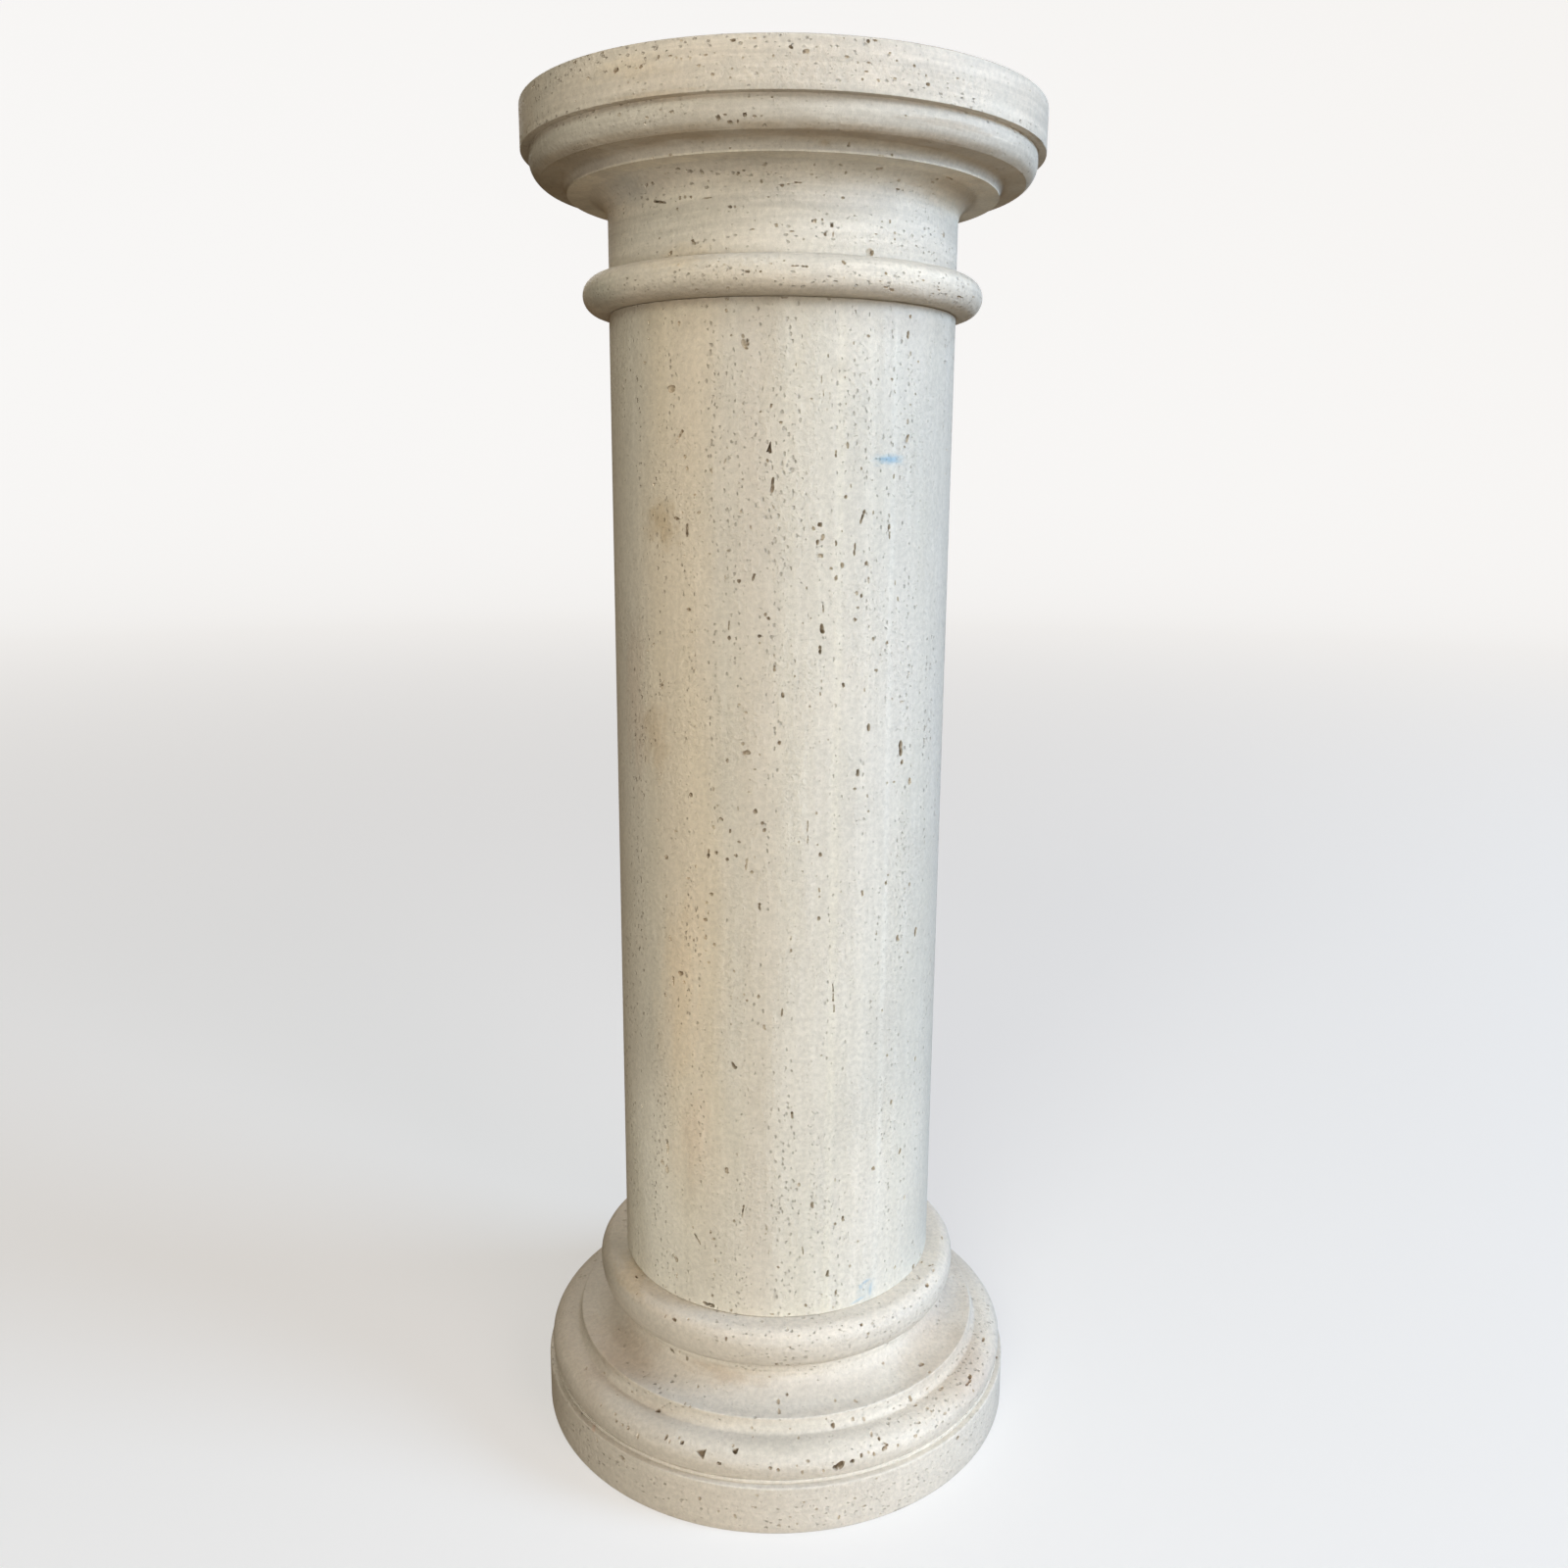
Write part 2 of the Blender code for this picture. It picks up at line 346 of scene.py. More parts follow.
# The pores of all three stones: gas holes between the layers, opened by the saw and the lathe.
# Each is a rough-walled hollow, drawn out along the bedding. Most are shallow and few go deep.
BLOB_KINDS = 8
FINE_REACH = 0.0011
LONE_REACH = 0.0018
MIDDLE_REACH = 0.0030
SHORT_RATIO = 2.2
LONG_RATIO = 4.0
LEAST_DEPTH = 0.0002
WALL_SHARE = 1.3
PORE_EDGE_ANGLE = 33
USUAL_PIXELS = 3
GRAZING_SHARE = 0.5
TRAIN_LENGTHS = (1, 1, 2, 3, 5, 8, 12)
TRAIN_HALF_WIDTH = 0.0006
TRAIN_SPREAD = 0.45
TRAIN_STEPS = (0.002, 0.011)
TRAIN_SCATTER = 0.0012
TRAIN_LEAN = 14
TRAIN_MARGIN = 0.001
FRONT_SHARE = 0.65
HIDDEN_SHARES = (1, 1, 1, 1, 1.5, 2.4)
HIDDEN_HALF_WIDTH = 0.0020


def rough_blob(seed, fineness):
    """Points and faces of a lumpy ball of about unit radius, its points shifted at random.
    Finer balls shift less, because one that crosses itself would empty the stone."""
    bpy.ops.object.select_all(action="DESELECT")
    bpy.ops.mesh.primitive_ico_sphere_add(subdivisions=min(fineness, 2), radius=1.0)
    bpy.ops.object.mode_set(mode="EDIT")
    bpy.ops.transform.vertex_random(offset=0.36 - 0.03 * fineness, seed=seed)
    if fineness > 2:
        bpy.ops.mesh.subdivide(number_cuts=1, smoothness=0.7)
        bpy.ops.transform.vertex_random(offset=0.11, seed=seed + 50)
    return taken_apart()


def rough_wedge(seed):
    """Points and faces of a three-sided hollow that narrows inwards, with its tip down."""
    bpy.ops.object.select_all(action="DESELECT")
    bpy.ops.mesh.primitive_cone_add(vertices=3, radius1=0.5, radius2=1.35, depth=2.0)
    bpy.ops.object.mode_set(mode="EDIT")
    bpy.ops.transform.rotate(value=math.pi, orient_axis="Z", center_override=(0, 0, 0))
    bpy.ops.mesh.subdivide(number_cuts=2, smoothness=0.0)
    bpy.ops.transform.vertex_random(offset=0.16, seed=seed)
    return taken_apart()


def taken_apart():
    """The points and faces of the mesh in edit mode, which is then removed."""
    bpy.ops.object.mode_set(mode="OBJECT")
    blob = bpy.context.object
    points = [vertex.co.copy() for vertex in blob.data.vertices]
    faces = [tuple(face.vertices) for face in blob.data.polygons]
    bpy.data.objects.remove(blob, do_unlink=True)
    return points, faces


fine_blobs = [rough_blob(seed + 1, 1) for seed in range(BLOB_KINDS)]
middle_blobs = [rough_blob(seed + 11, 2) for seed in range(BLOB_KINDS)]
large_blobs = [rough_blob(seed + 21, 3) for seed in range(BLOB_KINDS)]
wedges = [rough_wedge(3)]


class Pit:
    """A hollow at a place in a stone's face: its half sizes and depth in metres, leaning clockwise."""

    def __init__(self, place, outward, wide, high, deep, lean=0.0, kinds=None):
        level = Vector((0, 0, 1)).cross(outward)
        if level.length < 0.05:
            level = Vector((0, 0, 1)).cross(place)
        level.normalize()
        turned = Matrix.Rotation(-math.radians(lean), 3, outward)
        self.place = place.copy()
        self.outward = outward.copy()
        self.level = turned @ level
        self.upward = turned @ outward.cross(level).normalized()
        self.wide, self.high, self.deep = wide, high, deep
        self.reach = max(wide, high)
        self.kinds = kinds or self.kinds_by_size()

    def cells(self, rolls):
        """The pit as one hollow or, if it is large or long, as two or three that run together."""
        tall = self.high > self.wide
        long, short = (self.high, self.wide) if tall else (self.wide, self.high)
        along, aside = (self.upward, self.level) if tall else (self.level, self.upward)
        if long < LONE_REACH:
            return [self]
        if long < SHORT_RATIO * short:
            side = rolls.choice((-1, 1))
            shifts, lengths = (0.0, side * 0.62), (0.92, 0.45)
        elif long < LONG_RATIO * short:
            shifts, lengths = (-0.42, 0.48), (0.62, 0.56)
        else:
            shifts, lengths = (-0.62, 0.02, 0.64), (0.42, 0.46, 0.40)
        cells = []
        for shift, share in zip(shifts, lengths):
            cell = copy.copy(self)
            away = short * rolls.uniform(-0.3, 0.3)
            cell.place = self.place + along * long * shift + aside * away
            length = long * share * rolls.uniform(0.9, 1.1)
            width = min(short * rolls.uniform(0.75, 1.1), length * 1.2)
            cell.wide, cell.high = (width, length) if tall else (length, width)
            cell.deep = self.deep * rolls.uniform(0.6, 1.1)
            cell.reach = max(length, width)
            cell.kinds = cell.kinds_by_size()
            cells.append(cell)
        return cells

    def kinds_by_size(self):
        if self.reach < FINE_REACH:
            return fine_blobs
        return middle_blobs if self.reach < MIDDLE_REACH else large_blobs

    def clear_of(self, others):
        """Whether the pit keeps a wall between it and the others."""
        for other in others:
            if (other.place - self.place).length < WALL_SHARE * (other.reach + self.reach):
                return False
        return True


def seen_pits(stone, rows, depth, rolls, kinds):
    """Pits that the photograph shows: across and down in it, wide if that isn't the usual, high if
    that differs, and the lean if any. The depth is a share of the half size."""
    pits = []
    for across, down, *rest in rows:
        wide = rest[0] if rest else USUAL_PIXELS
        high = rest[1] if len(rest) > 1 else wide
        lean = rest[2] if len(rest) > 2 else 0.0
        place, outward = place_on(stone, across, down)
        away = (place - CAMERA_PLACE).length
        sight = (place - CAMERA_PLACE) / away
        straight = Pit(place, outward, 1.0, 1.0, 1.0)
        half_width = wide * away / FOCAL_PIXELS / 2
        half_height = high * away / FOCAL_PIXELS / 2
        half_width /= max(GRAZING_SHARE, math.sqrt(1 - straight.level.dot(sight) ** 2))
        half_height /= max(GRAZING_SHARE, math.sqrt(1 - straight.upward.dot(sight) ** 2))
        deep = depth * math.sqrt(half_width * half_height) + LEAST_DEPTH
        pit = Pit(place, outward, half_width, half_height, deep, lean, kinds)
        pits += [pit] if kinds else pit.cells(rolls)
    return pits


def place_along(outline, distance, angle):
    """The place and outward direction at a distance down an outline, at an angle round the axis."""
    for (radius, height), (next_radius, next_height) in zip(outline, outline[1:]):
        run = Vector((next_radius - radius, next_height - height))
        if distance <= run.length and run.length > 0:
            spot = Vector((radius, height)) + run * distance / run.length
            out = Vector((-run.y, run.x)).normalized()
            around = Vector((math.cos(angle), math.sin(angle), 0))
            return around * spot.x + Vector((0, 0, spot.y)), around * out.x + Vector((0, 0, out.y))
        distance -= run.length
    return None


def add_trains(pits, outline, trains, upright, rolls):
    """Adds rows of small pores that keep to a layer: up the stone, or round it.
    They are smallest where the photograph shows the larger ones."""
    length = sum((Vector(after) - Vector(before)).length for before, after in zip(outline, outline[1:]))
    for _ in range(trains):
        distance = rolls.uniform(2 * TRAIN_MARGIN, length - 2 * TRAIN_MARGIN)
        angle = rolls.uniform(0, math.tau)
        radius = place_along(outline, distance, angle)[0].xy.length
        for _ in range(rolls.choice(TRAIN_LENGTHS)):
            size = TRAIN_HALF_WIDTH * math.exp(rolls.gauss(0, TRAIN_SPREAD))
            drawn = rolls.uniform(1.0, 2.4)
            depth = rolls.uniform(0.5, 1.1)
            lean = rolls.gauss(0, TRAIN_LEAN)
            ahead = rolls.uniform(*TRAIN_STEPS)
            aside = rolls.gauss(0, TRAIN_SCATTER)
            distance += ahead if upright else aside
            angle += (aside if upright else ahead) / radius
            found = place_along(outline, distance, angle)
            if not found or not TRAIN_MARGIN <= distance <= length - TRAIN_MARGIN:
                break
            if found[1].dot(CAMERA_PLACE - found[0]) > 0:
                size = FRONT_SHARE * min(size, TRAIN_HALF_WIDTH * 1.3)
            else:
                size = min(size * rolls.choice(HIDDEN_SHARES), HIDDEN_HALF_WIDTH)
            wide, high = (size, size * drawn) if upright else (size * drawn, size)
            new = Pit(*found, wide, high, size * depth, lean)
            if new.clear_of(pits):
                pits.append(new)


def cut_pits(stone, pits, rolls):
    """Cuts the pits out of the stone, and those that run into another in a later round.
    Each point then keeps its depth below the turned face, by which the material darkens the inside
    of a pore with dirt and painted shade."""
    mesh = stone.data
    turned_faces = [face.vertices for face in mesh.polygons]
    turned = BVHTree.FromPolygons([point.co for point in mesh.vertices], turned_faces)
    while pits:
        cut_now, cut_later = [], []
        for pit in pits:
            (cut_now if pit.clear_of(cut_now) else cut_later).append(pit)
        points, faces = [], []
        for pit in cut_now:
            blob_points, blob_faces = rolls.choice(pit.kinds)
            centre = pit.place + pit.outward * pit.deep * rolls.uniform(-0.30, 0.25)
            first = len(points)
            for point in blob_points:
                across = pit.level * point.x * pit.wide
                up = pit.upward * point.y * pit.high
                points.append(centre + across + up + pit.outward * point.z * pit.deep)
            faces += [tuple(first + corner for corner in face) for face in blob_faces]
        cutter_mesh = bpy.data.meshes.new("cutter")
        cutter_mesh.from_pydata(points, [], faces)
        cutter = bpy.data.objects.new("cutter", cutter_mesh)
        bpy.context.scene.collection.objects.link(cutter)
        select_alone(stone)
        cut = stone.modifiers.new("pits", "BOOLEAN")
        cut.operation = "DIFFERENCE"
        cut.solver = "EXACT"
        cut.object = cutter
        bpy.ops.object.modifier_apply(modifier=cut.name)
        bpy.data.objects.remove(cutter, do_unlink=True)
        pits = cut_later
    bpy.ops.object.shade_smooth_by_angle(angle=math.radians(PORE_EDGE_ANGLE))
    depth = mesh.attributes.new("depth", "FLOAT", "POINT")
    depth.data.foreach_set("value", [turned.find_nearest(point.co)[3] for point in mesh.vertices])


def open_pores(stone, outline, seen, seed, trains, upright):
    """Cuts a stone's pores: the seen ones, as rows with their depth and kinds, then the trains."""
    rolls = random.Random(seed)
    pits = []
    for rows, depth, kinds in seen:
        pits += seen_pits(stone, rows, depth, rolls, kinds)
    add_trains(pits, outline, trains, upright, rolls)
    cut_pits(stone, pits, rolls)


BASE_PITS = [
    (946, 1312, 4), (886, 1361), (879, 1352), (650, 1303, 4, 3), (701, 1386, 4), (686, 1378, 5, 3, 10),
    (672, 1440, 5), (751, 1481, 6), (786, 1498, 4, 3), (794, 1500, 4, 3, 20), (819, 1503, 3, 4),
    (856, 1495, 12, 8, -38), (870, 1491, 5, 4, 15), (879, 1485, 3, 4), (850, 1454, 4, 5, -15),
    (904, 1474, 5, 3, 30), (903, 1478, 6, 4), (1003, 1367, 4, 3), (989, 1405, 5, 4), (929, 1427, 3, 6, -20),
    (934, 1465, 4, 3), (803, 1423), (793, 1392, 4, 3), (856, 1548, 3, 4, 20), (734, 1494, 5, 3, 15),
    (977, 1467, 4, 3), (897, 1468, 3, 4, 20), (892, 1484, 4), (741, 1366, 3, 4), (688, 1346, 5, 4),
    (680, 1466, 3, 6), (714, 1529), (934, 1434, 4, 3, 20), (696, 1472, 4), (803, 1393, 4, 3),
    (950, 1291, 4, 3, 30),
]
BASE_DENTS = [
    (702, 1346, 3, 3, 30), (679, 1343, 2, 4), (650, 1320, 2, 3), (630, 1328), (940, 1288), (952, 1296),
    (961, 1263, 3, 2), (806, 1375, 3, 2), (815, 1363, 3, 2), (693, 1379, 3, 2), (809, 1393, 3, 2, -30),
    (814, 1398, 2), (785, 1405, 3, 2), (794, 1430, 5), (795, 1440, 4, 5), (873, 1430, 4, 4, -30), (852, 1429),
    (940, 1393, 5), (948, 1400), (676, 1436, 2), (662, 1421, 2, 4), (645, 1420, 3, 2), (630, 1423, 3, 2),
    (617, 1401, 3, 2), (598, 1396), (613, 1434, 2, 3), (628, 1443), (629, 1450), (635, 1454),
    (641, 1457, 3, 4, -30), (651, 1465, 3, 5), (683, 1471, 3, 4), (693, 1467), (748, 1475), (767, 1457),
    (768, 1466, 2), (806, 1458, 3, 2), (814, 1467), (843, 1448, 2), (813, 1496), (824, 1491, 4, 3),
    (840, 1501), (886, 1482), (889, 1463, 3, 5, 20), (916, 1475), (946, 1437), (950, 1440, 2, 3),
    (946, 1417, 3, 2), (960, 1417, 6, 3), (937, 1452, 4, 3), (939, 1467, 2), (964, 1442, 4, 3),
    (988, 1411, 8, 3), (993, 1419, 2, 3), (881, 1448, 4), (870, 1448, 4), (901, 1391), (609, 1469, 3, 4, -20),
    (635, 1488, 6, 4), (733, 1542, 3, 2), (750, 1547, 4), (772, 1526, 4, 2), (769, 1538, 6, 2),
    (794, 1557, 5, 3), (806, 1548, 3, 2), (813, 1555, 3, 2), (820, 1533, 3, 2), (833, 1540, 4, 2),
    (872, 1529, 3, 2), (881, 1537, 5, 2), (898, 1545, 3, 2), (894, 1509, 3, 2), (712, 1415),
    (699, 1432, 2, 3), (704, 1435),
]
BASE_TRIANGLE = (716, 1483, 14, 14, -20)

base_line = base_outline()
base = turn_stone("base_stone", base_line)


def patch(stone, where, size, colour, strength=1.0, ragged=0.3, lean=0.0):
    """Maker of a soft patch at a place in the photograph: its half sizes across, deep and high."""
    middle = place_on(stone, *where)[0]

    def mark(finish, place):
        turn = (0.0, math.radians(lean), 0.0)
        local = finish.add("Mapping", {"vector_type": "TEXTURE"}, Vector=place,
                           Location=middle, Rotation=turn, Scale=size)["Vector"]
        far = finish.vector("LENGTH", "Value", i0=local)
        rag = finish.noise(local, 2.5, 4.0, 0.6)
        rag = finish.math("MULTIPLY_ADD", rag, ragged * 3, ragged * -1.5)
        return finish.between(finish.math("ADD", far, rag), 1.0, 0.15, 0.0, strength), colour
    return mark


def patches(stone, rows):
    """Makers of a stone's soft patches, one for each row."""
    return [patch(stone, *row) for row in rows]


def band(centre, half_width, colour, strength, foot=(-0.2, -0.1)):
    """Maker of a soft upright band of colour, through the block at a distance across it.
    It fades in over two heights."""
    def mark(finish, place):
        parts = finish.add("SeparateXYZ", Vector=place)
        sway = finish.noise(place, (6.0, 6.0, 3.0), 3.0)
        across = finish.math("MULTIPLY_ADD", sway, half_width * 1.6, parts["X"])
        away = finish.math("ABSOLUTE", finish.math("SUBTRACT", across, centre + half_width * 0.8))
        share = finish.between(parts["Z"], *foot, 0.0, strength)
        return finish.math("MULTIPLY", finish.between(away, half_width, half_width * 0.2), share), colour
    return mark


def ring(height, half_height, colour):
    """Maker of a soft level ring of colour at a height, weaker in places.
    The rings here are painted light and painted shade.
    """
    def mark(finish, place):
        up = finish.add("SeparateXYZ", Vector=place)["Z"]
        away = finish.math("ABSOLUTE", finish.math("SUBTRACT", up, height))
        share = finish.between(finish.noise(place, 45.0, 3.0), 0.25, 0.6, 0.3, 1.0)
        return finish.math("MULTIPLY", finish.between(away, half_height, half_height * 0.3), share), colour
    return mark


def fade(axis, sway, start, end, colour):
    """Maker of a slow change of colour along an axis: none at the start, all of it at the end."""
    def mark(finish, place):
        along = finish.add("SeparateXYZ", Vector=place)[axis]
        along = finish.math("MULTIPLY_ADD", finish.noise(place, 7.0, 3.0), sway, along)
        return finish.between(along, start, end), colour
    return mark


SCOTIA_STAIN = (640, 1372)
SCOTIA_STAIN_END = (735, 1400)
SIDE_STAIN = (600, 1420)
GREY_CHIP = (634, 1487)
FILLET_LINE = place_on(base, 790, 1399)[0].z
ROLL_FACE = place_on(base, 800, 1366)[0].z
WARM_ROLL = (1000, 1400)
PINK_SPOT = (606, 1457)
ROLL_STAIN = (645, 1300)
GREY_ROLL = (800, 1466)
GREY_LEFT = (668, 1440)
WARM_SCOTIA = (962, 1378)
UPPER_ROLL_SHADE = (624, 1278)
# Painted light on the right side of the base, and painted shade on its left side.
base_painted_light_right = fade("X", 0.05, 0.02, 0.16, (1.12, 1.11, 1.09))
base_painted_shade_left = fade("X", 0.03, -0.03, -0.16, (0.87, 0.86, 0.85))
UPPER_ROLL_CROWN = 0.1300
LOWER_ROLL_CROWN = 0.0610
HOLLOW_LINE = 0.0703
ARRIS_LINE = 0.0756
SCOTIA_LINE = 0.0840

base_marks = [
    base_painted_light_right,
    base_painted_shade_left,
    # Painted shade on the upper roll's face, in the hollow, the scotia and the fillet's groove; painted light
    # on the crowns of both rolls, and a painted highlight along the arris.
    ring(ROLL_FACE, 0.0040, (0.95, 0.94, 0.93)),
    ring(UPPER_ROLL_CROWN, 0.0050, (1.11, 1.10, 1.09)),
    ring(LOWER_ROLL_CROWN, 0.0040, (1.06, 1.06, 1.05)),
    ring(HOLLOW_LINE, 0.0034, (0.96, 0.97, 0.98)),
    ring(ARRIS_LINE, 0.0020, (1.06, 1.07, 1.08)),
    ring(SCOTIA_LINE, 0.0075, (0.96, 0.95, 0.95)),
    ring(FILLET_LINE, 0.0014, (0.91, 0.90, 0.88)),
]
base_marks += patches(base, [
    (WARM_ROLL, (0.035, 0.08, 0.016), (0.93, 0.89, 0.87)),
    (SCOTIA_STAIN, (0.055, 0.06, 0.019), (0.86, 0.80, 0.75), 0.9, 0.5),
    (SCOTIA_STAIN_END, (0.045, 0.04, 0.008), (0.85, 0.79, 0.73), 0.9, 0.6),
    (WARM_SCOTIA, (0.055, 0.12, 0.040), (0.90, 0.85, 0.80)),
    (SIDE_STAIN, (0.030, 0.06, 0.030), (0.92, 0.90, 0.89), 0.8, 0.5),
    (ROLL_STAIN, (0.022, 0.05, 0.008), (0.93, 0.86, 0.74), 0.8, 0.5),
    (UPPER_ROLL_SHADE, (0.050, 0.06, 0.020), (0.76, 0.76, 0.74)),
    (GREY_ROLL, (0.050, 0.06, 0.007), (0.93, 0.93, 0.92), 0.9, 0.7),
    (GREY_LEFT, (0.030, 0.05, 0.009), (0.94, 0.92, 0.90), 0.9, 0.7),
    (GREY_CHIP, (0.0035, 0.01, 0.0022), (0.62, 0.62, 0.60), 0.9, 0.5),
    (PINK_SPOT, (0.0022, 0.01, 0.0015), (1.0, 0.82, 0.74), 0.8, 0.4),
])
base.data.materials.append(travertine(
    "base_travertine", (0, 0, 0), (0.3, 0.1, 0.7),
    [(0.63, 0.57, 0.48), (0.65, 0.59, 0.50), (0.64, 0.58, 0.49), (0.67, 0.62, 0.53)],
    0.02, base_marks))
base_seen = [([BASE_TRIANGLE], 0.40, wedges), (BASE_PITS, 1.2, None), (BASE_DENTS, 0.6, None)]
open_pores(base, base_line[1:-1], base_seen, seed=11, trains=170, upright=False)
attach(base, "root")
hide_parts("base")


# Shaft: one block of travertine turned with its bedding upright, a plain cylinder.
# It stands on the upper roll, bed on bed, with hairline joints and small nibbles along its arrises.
shaft_low, shaft_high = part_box("shaft")
SHAFT_RADIUS = shaft_high.x
SHAFT_EDGE = 0.0008
SHAFT_ROWS = 80
SHAFT_BED_RING = SHAFT_RADIUS * 0.85

SHAFT_PITS = [
    (783, 470, 4), (788, 495, 4, 16, 8), (695, 443, 3, 10, 38), (691, 450, 2, 5, 10), (880, 527, 3, 15, 18),
    (907, 538, 4, 6), (908, 546, 2, 9), (758, 343, 4, 5, -30), (763, 349, 3, 7, -10), (761, 355, 5, 3, 20),
    (837, 535, 5, 6), (830, 539, 4, 5), (839, 548, 4, 8, 10), (834, 553, 4, 6, 10), (872, 561, 3, 13),
    (853, 554, 3, 6, -15), (859, 577, 4, 6), (848, 580, 4, 3), (884, 575, 4, 5), (853, 590, 4, 6, 25),
    (769, 589, 4, 8, 15), (754, 593, 4, 5), (879, 608, 3, 5), (872, 633, 5), (839, 641, 5, 11),
    (837, 663, 4, 9, 5), (840, 621, 2, 8), (787, 414, 3, 5, 15), (776, 420), (797, 431, 4, 3), (863, 507, 4),
    (853, 463, 3, 7), (865, 454, 3, 7), (926, 448, 3, 9, 10), (927, 341, 3, 8, 5), (929, 323, 3, 4),
    (781, 627, 4), (784, 631, 4), (744, 651, 4, 5), (744, 638, 2, 10, 5), (775, 649, 4), (701, 541, 3, 14),
    (691, 529, 6, 4), (703, 622, 4), (675, 700, 4, 7, 15), (790, 682, 3, 7), (799, 709, 5, 6),
    (860, 699, 4, 6, -20), (886, 743, 4, 9), (919, 764, 4, 16), (920, 778, 3, 6, 10), (928, 798, 4, 8, 5),
    (875, 788, 4, 8), (872, 805, 4, 3), (758, 759, 4, 4, 20), (742, 776, 4, 5, 10), (795, 758, 4, 5),
    (705, 811, 4, 5), (770, 828, 5, 6), (778, 840, 4), (780, 847, 4, 5, 15), (731, 870, 4),
    (742, 877, 4, 4, 10), (751, 873, 4), (723, 871, 3, 10, 10), (680, 875, 4, 5, -20), (736, 836, 5, 3, 35),
    (745, 848, 3, 5), (754, 859, 4, 3), (837, 872, 4, 5), (726, 912, 5, 4), (720, 938, 5, 4, -20),
    (775, 925, 3, 8, -10), (836, 908, 3, 5), (835, 937, 4, 5, 10), (904, 901, 3, 5), (894, 684, 4, 3),
    (905, 656, 4, 4, -30), (880, 912, 3, 7), (684, 957, 3, 6, -15), (720, 956, 4, 6), (729, 964, 4),
    (807, 970, 3, 4), (934, 951, 3, 10, 5), (916, 957, 3, 7), (723, 982, 4, 3), (695, 993, 6),
    (687, 1001, 3, 11, -10), (698, 1002, 3, 4), (762, 1021), (850, 1008, 2, 9), (850, 1018, 2, 9),
    (851, 1029, 2, 8), (798, 1033, 3, 8, 10), (749, 1087, 4, 8, -25), (909, 1125, 3, 5, 15),
    (808, 1138, 3, 7), (918, 1175, 3, 6, 20), (891, 1193, 4), (758, 1236, 2, 13, 5), (749, 1246),
    (712, 1264, 3, 11, -35), (725, 1257, 3, 4), (728, 1264, 4, 3), (690, 1285, 4, 6, -15), (730, 1286, 3, 4),
    (844, 1299, 4, 6, 10), (853, 1318, 3, 5, 20), (860, 1243, 3, 6), (819, 1276, 2, 7, -10),
    (794, 1293, 4, 2, 30), (727, 1322), (822, 1332), (741, 317, 3, 4), (852, 1249),
]
